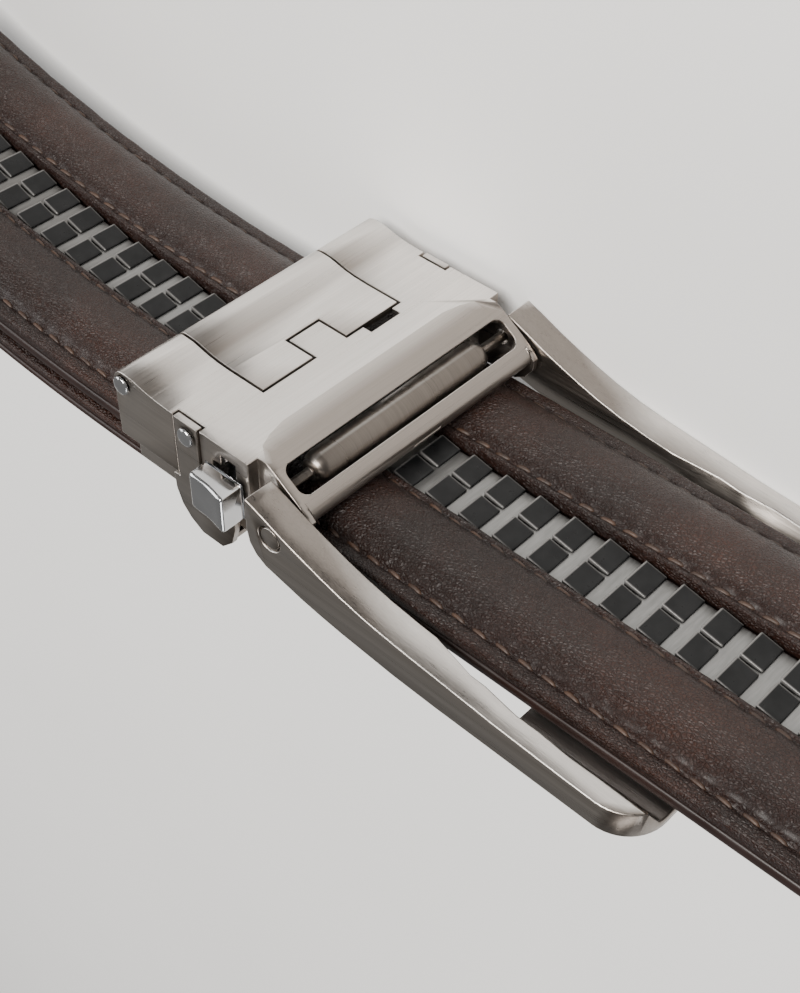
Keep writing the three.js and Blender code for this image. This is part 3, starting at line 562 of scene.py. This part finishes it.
def plate_look():
    """Near-black satin plates whose raised rear edges and sides get a painted highlight: a lighter, metallic
    colour.
    """
    look = Look("track_plates")
    where = look.place()
    # Painted highlight: the plates' raised edges are coloured lighter and made metallic by the rim attribute.
    painted_rim_highlight = look.attribute("rim")
    dark = look.shades(look.noise(where, scale=500), BLACK_PLATE, GREY_PLATE)
    return look.surface(
        Base_Color=look.mix(painted_rim_highlight, dark, RIM_HIGHLIGHT_GREY),
        Roughness=look.gloss(look.noise(where, scale=800), 0.26, 0.40),
        Metallic=painted_rim_highlight,
        Specular_IOR_Level=0.2,
        Normal=look.bump(look.noise(where, scale=5200, detail=2), distance=0.00002, strength=0.3),
    )


def floor_look():
    """A matt pale sweep with the faintest mottling."""
    look = Look("floor")
    mottling = look.noise(look.place(), scale=6)
    return look.surface(Base_Color=look.shades(mottling, PALE_FLOOR, PALER_FLOOR), Roughness=0.8)


# Meshes


def mesh_object(name, points, faces, material, attributes=None, smooth=True):
    """A mesh object at the origin, from points in metres and faces that list their corners."""
    mesh = bpy.data.meshes.new(name)
    mesh.from_pydata(points.reshape(-1, 3).tolist(), [], [list(face) for face in faces])
    mesh.polygons.foreach_set("use_smooth", np.full(len(mesh.polygons), smooth))
    for key, values in (attributes or {}).items():
        layer = mesh.attributes.new(key, "FLOAT", "POINT")
        layer.data.foreach_set("value", np.asarray(values, np.float32).ravel())
    mesh.materials.append(material)
    mesh.update()
    made = bpy.data.objects.new(name, mesh)
    bpy.context.scene.collection.objects.link(made)
    return made


def closed_object(name, points, faces, material, attributes=None):
    """A mesh object whose faces are turned to point out of the solid that they close."""
    made = mesh_object(name, points, faces, material, attributes)
    work = bmesh.new()
    work.from_mesh(made.data)
    bmesh.ops.recalc_face_normals(work, faces=work.faces)
    work.to_mesh(made.data)
    work.free()
    return made


def tube_faces(rows, columns, caps=True):
    """The faces of a grid whose columns close on themselves, and the two ends of the tube."""
    index = np.arange(rows * columns).reshape(rows, columns)
    here, beside = index[:-1], np.roll(index[:-1], -1, 1)
    beyond, behind = np.roll(index[1:], -1, 1), index[1:]
    faces = np.stack([here, beside, beyond, behind], -1).reshape(-1, 4).tolist()
    if caps:
        faces.append(index[0][::-1].tolist())
        faces.append(index[-1].tolist())
    return faces


def strap_rows():
    """The lengths at which the strap gets a section: by a cosine round the tip, then at even steps."""
    near_start = TAIL_TIP + TIP_LENGTH
    tip = TAIL_TIP + TIP_LENGTH * (1 - np.cos(np.linspace(TIP_START, math.pi / 2, TIP_SECTIONS)))
    near = np.arange(near_start + NEAR_GAP, NEAR_END, NEAR_STEP)
    far = np.arange(NEAR_END, STRAP_END, FAR_STEP)
    return np.concatenate([tip, near, far, [STRAP_END]])


def swept(name, along, out, across, material, attributes=None):
    """A closed strip of the strap: each row of out and across is the section at one length, held within the
    strap's half width."""
    limit = half_width(along)[:, None]
    across = np.clip(across, -limit, limit)
    points = strap_place(along[:, None], out, across)
    return closed_object(name, points, tube_faces(*across.shape), material, attributes)


def lining(material):
    """The strap's body: a flat slab whose two edges bulge by a power of a cosine, squarer than a half
    round."""
    along = strap_rows()
    turn = np.linspace(-math.pi / 2, math.pi / 2, EDGE_COLUMNS)
    half = STRAP_WIDTH / 2 - EDGE_BULGE
    edge = half + EDGE_BULGE * np.cos(turn) ** EDGE_SQUARENESS
    flat = np.linspace(-half, half, FLAT_COLUMNS)[1:-1]
    thickness = edge_thickness(along)[:, None]
    top = -(thickness + FIT) / 2
    edge_out = (top - thickness) / 2 + (top + thickness) / 2 * np.sin(turn)
    level = np.ones_like(flat)
    out = np.concatenate([edge_out, top * level, edge_out[:, ::-1], -thickness * level], 1)
    across = np.concatenate([edge, flat[::-1], -edge[::-1], flat]) + np.zeros_like(thickness)
    return swept("strap_body", along, out, across, material)


def band_height(place, crown):
    """The band's face: a flat border, a groove at each seam, a soft crown between the seams that is a power
    of a sine, and a border along the channel that lies a little higher than the outer one."""
    share = np.clip((place - OUTER_SEAM) / (INNER_SEAM - OUTER_SEAM), 0, 1)
    swell = np.sin(math.pi * share**CROWN_LEAN) ** CROWN_POWER
    lift = crown * (BORDER_LIFT + CHANNEL_LIFT * smoothstep(place, OUTER_SEAM, BAND_WIDTH))
    grooves = bell(place - OUTER_SEAM, GROOVE_WIDTH) + bell(place - INNER_SEAM, GROOVE_WIDTH)
    groove = GROOVE_DEPTH * grooves
    return lift + (crown * CROWN_SHARE - lift * LIFT_LOST) * swell - groove * np.minimum(1, crown)


def band_columns():
    """The places across a band's face that get a column, even over the seams and the crown."""
    stretches = [np.linspace(*stretch) for stretch in COLUMN_STRETCHES]
    return np.concatenate([OUTER_COLUMNS, *stretches, BAND_WIDTH - CHANNEL_COLUMNS])


def band(name, side, material):
    """A padded band, from its outer edge over the crown to the channel and back underneath. Its edges are
    rounded by a quarter circle, a cosine pulls the seams down at every stitch, and smooth random waves run
    over the crown."""
    along = strap_rows()
    face = band_columns()
    crown = (BAND_CROWN * (1 - paring(along)))[:, None]
    near_edge = np.clip(np.minimum(face, BAND_WIDTH - face) / BAND_ROUNDING, 0, 1)
    drop = BAND_ROUNDING * (1 - np.sqrt(1 - (1 - near_edge) ** 2))
    seat = bell(face - OUTER_SEAM, PULL_WIDTH) + bell(face - INNER_SEAM, PULL_WIDTH)
    pull = PULL_DEPTH * np.cos(TURN * along / STITCH_PITCH)[:, None] * seat
    waves = sum(size * noise_rows(seed + side, len(along), bends) for seed, bends, size in BAND_WAVES)
    waves = waves[:, None] * np.sin(math.pi * face / BAND_WIDTH) ** 2 * np.minimum(1, crown)
    height = np.minimum(band_height(face, crown) - drop + pull + waves, BAND_CROWN)
    wander = WANDER * noise_rows(WANDER_SEED + side, len(along), WANDER_BENDS)[:, None]
    bottom = -(edge_thickness(along)[:, None] - FIT) / 2
    channel_wall = height[:, -1:] + (bottom - height[:, -1:]) * WALL_COLUMNS
    outer_wall = (height[:, :1] + (bottom - height[:, :1]) * WALL_COLUMNS)[:, ::-1]
    under = np.linspace(BAND_WIDTH, 0, UNDER_COLUMNS)[1:-1]
    out = np.concatenate([height, channel_wall, bottom * np.ones_like(under), outer_wall], 1)
    top = face + wander * bell(face, WANDER_WIDTH)
    rest = np.concatenate([BAND_WIDTH * np.ones_like(WALL_COLUMNS), under, OUTER_WALL_LEAN])
    place = np.concatenate([top, rest + np.zeros_like(crown)], 1)
    # Painted shade, kept in the seam attribute: stripes along the seams and edges of the face, and in full on
    # the walls and underside.
    painted_seam_shade = sum(strength * bell(face - middle, width) for middle, width, strength in SEAM_SHADE_STRIPES)
    seam = np.ones_like(place)
    seam[:, : len(face)] = np.clip(painted_seam_shade, 0, 1)
    return swept(name, along, out, side * (BAND_EDGE - place), material, {"seam": seam})


def seams(name, side, material):
    """Two rows of stitches on a band. A stitch is a short round thread whose radius is the root of one less
    a power of the distance from its middle. It is arched by a parabola and lies a little slanted."""
    first = math.ceil((TAIL_TIP + TIP_LENGTH + STITCH_MARGIN) / STITCH_PITCH) * STITCH_PITCH
    middles = np.arange(first, STRAP_END - STITCH_MARGIN, STITCH_PITCH)
    random = np.random.default_rng(STITCH_SEED + side)
    ring = np.linspace(-1, 1, STITCH_RINGS)[:, None]
    angle = np.arange(STITCH_SIDES) * TURN / STITCH_SIDES
    radius = THREAD_RADIUS * np.sqrt(np.clip(1 - np.abs(ring) ** THREAD_POWER, THREAD_END, 1))
    along = middles[:, None, None] + ring * STITCH_LENGTH / 2
    arch = STITCH_ARCH * (1 - ring**2) - STITCH_SINK
    parts = []
    for seam in (OUTER_SEAM, INNER_SEAM):
        lean = random.normal(0, STITCH_WANDER, len(middles))[:, None, None]
        bed = band_height(seam, BAND_CROWN * (1 - paring(along)))
        out = bed + arch + radius * np.sin(angle) * THREAD_FLATNESS
        across = side * (BAND_EDGE - seam + lean + STITCH_SLANT * ring + radius * np.cos(angle))
        parts.append(strap_place(along, out, across))
    points = np.concatenate(parts)
    size = STITCH_RINGS * STITCH_SIDES
    starts = np.arange(len(points))[:, None] * size
    walls = np.array(tube_faces(STITCH_RINGS, STITCH_SIDES, caps=False))
    faces = (walls + starts[:, :, None]).reshape(-1, 4).tolist()
    end = np.arange(STITCH_SIDES)
    faces += (starts + end[::-1]).tolist()
    faces += (starts + size - STITCH_SIDES + end).tolist()
    return closed_object(name, points, faces, material)


def track_bed(material):
    """The plain strip that shows between the rows: a shallow bar with rounded edges, raised a little by a
    cosine in each gap."""
    start, end = FIRST_ROW * ROW_PITCH, (FIRST_ROW + ROWS) * ROW_PITCH
    along = np.arange(start - BED_MARGIN, end - BED_MARGIN, BED_STEP)
    inset, level = np.array(BED_SIDE).T
    side = TRACK_WIDTH / 2 - inset
    across = np.concatenate([-side, [0], side[::-1], [0]])
    level = np.concatenate([level, [BED_TOP], level[::-1], [-TRACK_BASE]])
    gap = (PLATE_LENGTH + ROW_PITCH) / 2
    from_gap = np.clip((np.mod(along, ROW_PITCH) - gap) / BED_RISE_REACH, -1, 1)
    rise = BED_RISE * np.cos(from_gap * math.pi / 2)
    out = level + rise[:, None] * (level > RAISED_FROM)
    points = strap_place(along[:, None], out, across)
    return closed_object("track_bed", points, tube_faces(*out.shape), material)


def plate_shape():
    """One plate: its points as places along, across and out and their painted highlight, its upper and side
    faces, and the outline of its bottom. The height falls evenly from the raised rear edge, and drops along the
    outermost lines of the grid. The grid comes first, then the foot of its outline, from which the walls rise."""
    across, along = np.meshgrid(PLATE_ACROSS, PLATE_ALONG, indexing="ij")
    rows, columns = across.shape
    side_lines = np.abs(across) > PLATE_SIDE
    end_lines = (along == 0) | (along == 1)
    corner = CORNER_CUT * side_lines * end_lines
    fall = PLATE_LOW * along + PLATE_EDGE_DROP * (np.abs(across) == 1) + PLATE_EDGE_DROP * end_lines
    rim_highlight = np.clip(1 - along / REAR_HIGHLIGHT_REACH, 0, 1) * (along < PLATE_REAR) + SIDE_HIGHLIGHT * side_lines
    half = (TRACK_WIDTH - TRACK_GROOVE) / 4
    length = PLATE_LENGTH * (0.5 + (along - 0.5) * (1 - corner))
    width = half * across * (1 - corner * CORNER_SHARE)
    index = np.arange(rows * columns).reshape(rows, columns)
    ring = np.concatenate([index[:, 0], index[-1, 1:], index[-2::-1, -1], index[0, -2:0:-1]])
    foot = rows * columns + np.arange(len(ring))
    grid = np.stack([index[:-1, :-1], index[1:, :-1], index[1:, 1:], index[:-1, 1:]], -1).reshape(-1, 4)
    walls = np.stack([np.roll(ring, -1), ring, foot, np.roll(foot, -1)], -1)
    shape = (
        np.concatenate([length.ravel(), length.ravel()[ring]]),
        np.concatenate([width.ravel(), width.ravel()[ring]]),
        np.concatenate([-fall.ravel(), np.full(len(ring), -STRIP_LEVEL - PLATE_SUNK)]),
        np.concatenate([rim_highlight.ravel(), np.zeros(len(ring))]),
    )
    return shape, np.concatenate([grid, walls]), foot[::-1]


def track_plates(material):
    """Two plates a row, each the same shape moved along by the row's pitch and across by half the track."""
    (length, width, out, rim_highlight), sides, bottom = plate_shape()
    rows = np.arange(FIRST_ROW, FIRST_ROW + ROWS)[:, None] * ROW_PITCH
    middle = (TRACK_WIDTH - TRACK_GROOVE) / 4 + TRACK_GROOVE / 2
    points = np.concatenate([strap_place(rows + length, out, side * middle + width) for side in (-1, 1)])
    starts = np.arange(len(points))[:, None] * len(length)
    faces = (sides + starts[:, :, None]).reshape(-1, 4).tolist()
    faces += (starts + bottom).tolist()
    # The rim attribute carries the painted highlight of the plates' edges.
    return closed_object("track_plates", points, faces, material, {"rim": np.tile(rim_highlight, len(points))})


def mark_creases(work):
    """Keeps a crisp line where a face tipped a little forwards meets one that looks straight out of the
    strap."""
    for edge in work.edges:
        if len(edge.link_faces) != 2:
            continue
        flat, tipped = sorted((face.normal for face in edge.link_faces), key=lambda normal: normal.x)
        if flat.y > STRAIGHT_OUT and tipped.x > LEAST_TIPPED and tipped.y > STILL_OUT:
            edge.smooth = False


def weigh_edges(work, shortest):
    """Marks the edges that get rounded: all that turn enough, but none too short for the rounding, and only
    the longer of two that leave a corner at a sharp angle, where the rounding would run out into a spike."""
    weight = work.edges.layers.float.new("bevel_weight_edge")
    for edge in work.edges:
        turns = len(edge.link_faces) == 2 and edge.calc_face_angle() > ROUNDED_TURN
        if turns and edge.calc_length() > shortest:
            edge[weight] = 1
    for corner in work.verts:
        rounded = [edge for edge in corner.link_edges if edge[weight]]
        for pair in itertools.combinations(rounded, 2):
            first, second = (edge.other_vert(corner).co - corner.co for edge in pair)
            if first.angle(second) < SHARPEST_CORNER:
                min(pair, key=lambda edge: edge.calc_length())[weight] = 0


def cut_thumb_piece(work):
    """Takes the square thumb piece off the lever where it leaves the housing: the lever is cut by a plane
    there, and its end is closed. thumb_piece models it rounded."""
    rear = (THUMB_REAR - CUT_MARGIN + ORIGIN[0]) * MM
    wall = (THUMB_FACE + CUT_GAP + BUCKLE_HEIGHT) * MM
    outer = [face for face in work.faces if any(v.co.z > wall and v.co.x > rear for v in face.verts)]
    geometry = list({part for face in outer for part in (*face.verts, *face.edges, face)})
    bmesh.ops.bisect_plane(work, geom=geometry, plane_co=(0, 0, wall), plane_no=(0, 0, 1))
    gone = [v for v in work.verts if v.co.z > wall + ON_THE_CUT * MM and v.co.x > rear]
    bmesh.ops.delete(work, geom=gone, context="VERTS")
    bmesh.ops.holes_fill(work, edges=[edge for edge in work.edges if edge.is_boundary])


def swell_bar(work):
    """Makes the bar in the window a little fatter, as it fills most of the window in the photograph: points
    that lie further from its axis than its pins are moved away from the axis by a factor."""
    middle = Vector(((BAR_ALONG + ORIGIN[0]) * MM, (BAR_OUT + ORIGIN[1]) * MM))
    for vertex in work.verts:
        away = vertex.co.xy - middle
        if away.length > BAR_PIN * MM:
            vertex.co.xy = middle + away * BAR_SWELL


def thumb_piece(material):
    """The chrome thumb piece: a box with round edges, whose outer face is hollowed by a power of a sine and
    leans by a power of the distance from its front corner, which reaches furthest out. Its section is a
    rectangle with quarter circles at its corners, and shrinks at both ends by the circle that rounds them."""
    turn = np.linspace(THUMB_END_START, math.pi / 2, THUMB_END_STEPS)
    round_end = THUMB_ROUND * (1 - np.cos(turn))
    middle = np.linspace(THUMB_REAR + THUMB_ROUND, THUMB_FRONT - THUMB_ROUND, THUMB_MIDDLE_STEPS)[1:-1]
    along = np.concatenate([THUMB_REAR + round_end, middle, (THUMB_FRONT - round_end)[::-1]])[:, None]
    depth = np.minimum(along - THUMB_REAR, THUMB_FRONT - along)
    corner = np.sqrt(np.clip(THUMB_ROUND**2 - np.clip(THUMB_ROUND - depth, 0, None) ** 2, 0, None))
    share = (along - THUMB_REAR) / (THUMB_FRONT - THUMB_REAR)
    lean = THUMB_LEAN * (1 - share) ** THUMB_LEAN_POWER
    hollow = THUMB_HOLLOW * np.sin(math.pi * share) ** THUMB_HOLLOW_POWER
    reach = THUMB_REACH - lean - hollow
    quarter = np.linspace(0, math.pi / 2, THUMB_CORNER_STEPS)
    angles = np.concatenate([quarter + number * math.pi / 2 for number in range(4)])
    quadrant = np.repeat([[1, 1], [-1, 1], [-1, -1], [1, -1]], THUMB_CORNER_STEPS, axis=0)
    half_out = (THUMB_TOP - THUMB_BOTTOM) / 2 - THUMB_ROUND
    half_across = reach / 2 - THUMB_ROUND
    out = (THUMB_TOP + THUMB_BOTTOM) / 2 + half_out * quadrant[:, 0] + corner * np.cos(angles)
    across = THUMB_FACE + reach / 2 + half_across * quadrant[:, 1] + corner * np.sin(angles)
    points = np.stack(np.broadcast_arrays(along, out, across), -1)
    return closed_object("thumb_piece", buckle_place(points), tube_faces(*out.shape), material)


def dressed(node, name, material, rounding, trim):
    """A copy of a rigid node with its corners merged, its flat faces joined and its edges rounded."""
    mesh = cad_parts[node].data.copy()
    mesh.name = name
    work = bmesh.new()
    work.from_mesh(mesh)
    bmesh.ops.remove_doubles(work, verts=work.verts, dist=SLIVER * MM)
    bmesh.ops.dissolve_limit(work, angle_limit=FLAT_TURN, verts=work.verts, edges=work.edges)
    if trim is not None:
        trim(work)
    weigh_edges(work, SHORTEST_EDGE * rounding * MM)
    work.to_mesh(mesh)
    work.free()
    mesh.materials.clear()
    mesh.materials.append(material)
    mesh.polygons.foreach_set("use_smooth", np.ones(len(mesh.polygons), bool))
    made = bpy.data.objects.new(name, mesh)
    bpy.context.scene.collection.objects.link(made)
    bevel = made.modifiers.new("rounding", "BEVEL")
    bevel.width = rounding * MM
    bevel.segments = ROUNDING_SEGMENTS
    bevel.limit_method = "WEIGHT"
    bevel.use_clamp_overlap = False
    bevel.harden_normals = True
    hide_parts(node)
    return made


# The belt

leather = leather_look()
edges = edge_look()
thread = thread_look()
brushed_across = brushed_look("brushed_across", BRIGHT_NICKEL, NICKEL, CROSSWISE)
brushed_along = brushed_look("brushed_along", NICKEL, DULL_NICKEL, LENGTHWISE)
brushed_round = brushed_look("brushed_round", LIGHT_BAR, DARK_BAR, ROUND)
bed_metal = brushed_look("bed_metal", LIGHT_BED, DARK_BED, BED_BRUSHING, roughness=(0.34, 0.5))
chrome = chrome_look()
plates = plate_look()

body = lining(edges)
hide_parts("strap_lining")
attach(body, "strap_and_housing")

for side, part in ((1, "upper"), (-1, "lower")):
    pad = band(f"padded_band_{part}", side, leather)
    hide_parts(f"band_{part}")
    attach(pad, "strap_and_housing")
    stitches = seams(f"stitches_{part}", side, thread)
    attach(stitches, "strap_and_housing")

bed = track_bed(bed_metal)
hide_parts("ratchet_track")
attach(bed, "strap_and_housing")
teeth = track_plates(plates)
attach(teeth, "strap_and_housing")

# The metal pieces: node, name, material, rounding of the edges, body and slot
HARD_PIECES = (
    ("housing", "buckle_housing", brushed_across, 0.12, "strap_and_housing", "satin_nickel"),
    ("cover_plate", "buckle_cover", brushed_across, 0.08, "cover", "satin_nickel"),
    ("cover_pin", "cover_hinge_pin", chrome, 0.05, "strap_and_housing", "chrome"),
    ("release_lever", "lever_shaft", chrome, 0.05, "lever", "chrome"),
    ("clamp_bracket", "strap_clamp", brushed_along, 0.09, "strap_and_housing", "satin_nickel"),
    ("guide_bar", "window_bar", brushed_round, 0.10, "strap_and_housing", "satin_nickel"),
    ("buckle_frame", "swinging_frame", brushed_along, 0.22, "frame", "satin_nickel"),
    ("frame_pin_upper", "frame_rivet_upper", brushed_along, 0.10, "strap_and_housing", "satin_nickel"),
    ("frame_pin_lower", "frame_rivet_lower", brushed_along, 0.10, "strap_and_housing", "satin_nickel"),
)
TRIMS = {"housing": mark_creases, "release_lever": cut_thumb_piece, "guide_bar": swell_bar}
for node, name, material, rounding, body_name, slot in HARD_PIECES:
    piece = dressed(node, name, material, rounding, TRIMS.get(node))
    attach(piece, body_name)

thumb = thumb_piece(chrome)
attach(thumb, "lever")

# Floor, lights and camera, with places in metres

FLOOR_REACH = 12
SKY_STRENGTH = 0.27

# The lights: name, place, width, height, power and colour
SOFTBOXES = (
    ("key", (0.22, 0.85, 1.15), 0.80, 0.60, 46, WARM_LIGHT),
    ("fill", (-1.10, 0.30, 0.70), 0.9, 0.7, 9, WHITE_LIGHT),
    ("rim", (0.80, -1.10, 0.90), 0.9, 0.5, 9, WHITE_LIGHT),
)

# The photograph's camera, in the buckle's millimetres: a point inside the loop, the spot that it looks at and
# the way up in the picture.
CAMERA_PLACE = (88.77, 131.91, 106.63)
CAMERA_AIM = (-1.48, 0.0, 7.2)
CAMERA_UP = (-0.4804, 0.7133, -0.5103)
FOCAL_PIXELS = 1590.1
PICTURE_HEIGHT = 993
SENSOR_SIZE = 36.0
NEAREST_SEEN = 0.005

corners = FLOOR_REACH * np.array([[-1, -1, 0], [1, -1, 0], [1, 1, 0], [-1, 1, 0]])
floor = mesh_object("floor", corners, [[0, 1, 2, 3]], floor_look(), smooth=False)

scene = bpy.context.scene
world = bpy.data.worlds.new("studio")
world.use_nodes = True
world.node_tree.nodes["Background"].inputs["Color"].default_value = (*SKY, 1)
world.node_tree.nodes["Background"].inputs["Strength"].default_value = SKY_STRENGTH
scene.world = world

buckle_middle = Vector(buckle_place((0, 0, 0)))
for name, place, width, height, power, color in SOFTBOXES:
    light = bpy.data.lights.new(name, "AREA")
    light.shape = "RECTANGLE"
    light.size, light.size_y = width, height
    light.energy = power
    light.color = color
    softbox = bpy.data.objects.new(name, light)
    away = Vector(place) - buckle_middle
    softbox.matrix_world = Matrix.Translation(place) @ away.to_track_quat("Z", "Y").to_matrix().to_4x4()
    scene.collection.objects.link(softbox)

lens = bpy.data.cameras.new("camera")
lens.sensor_width = SENSOR_SIZE
lens.lens = FOCAL_PIXELS / PICTURE_HEIGHT * SENSOR_SIZE
lens.clip_start = NEAREST_SEEN
camera = bpy.data.objects.new("camera", lens)
place, aim = Vector(buckle_place(CAMERA_PLACE)), Vector(buckle_place(CAMERA_AIM))
back = (place - aim).normalized()
right = Vector(CAMERA_UP).cross(back).normalized()
axes = Matrix((right, back.cross(right), back)).transposed()
camera.matrix_world = Matrix.Translation(place) @ axes.to_4x4()
scene.collection.objects.link(camera)
scene.camera = camera
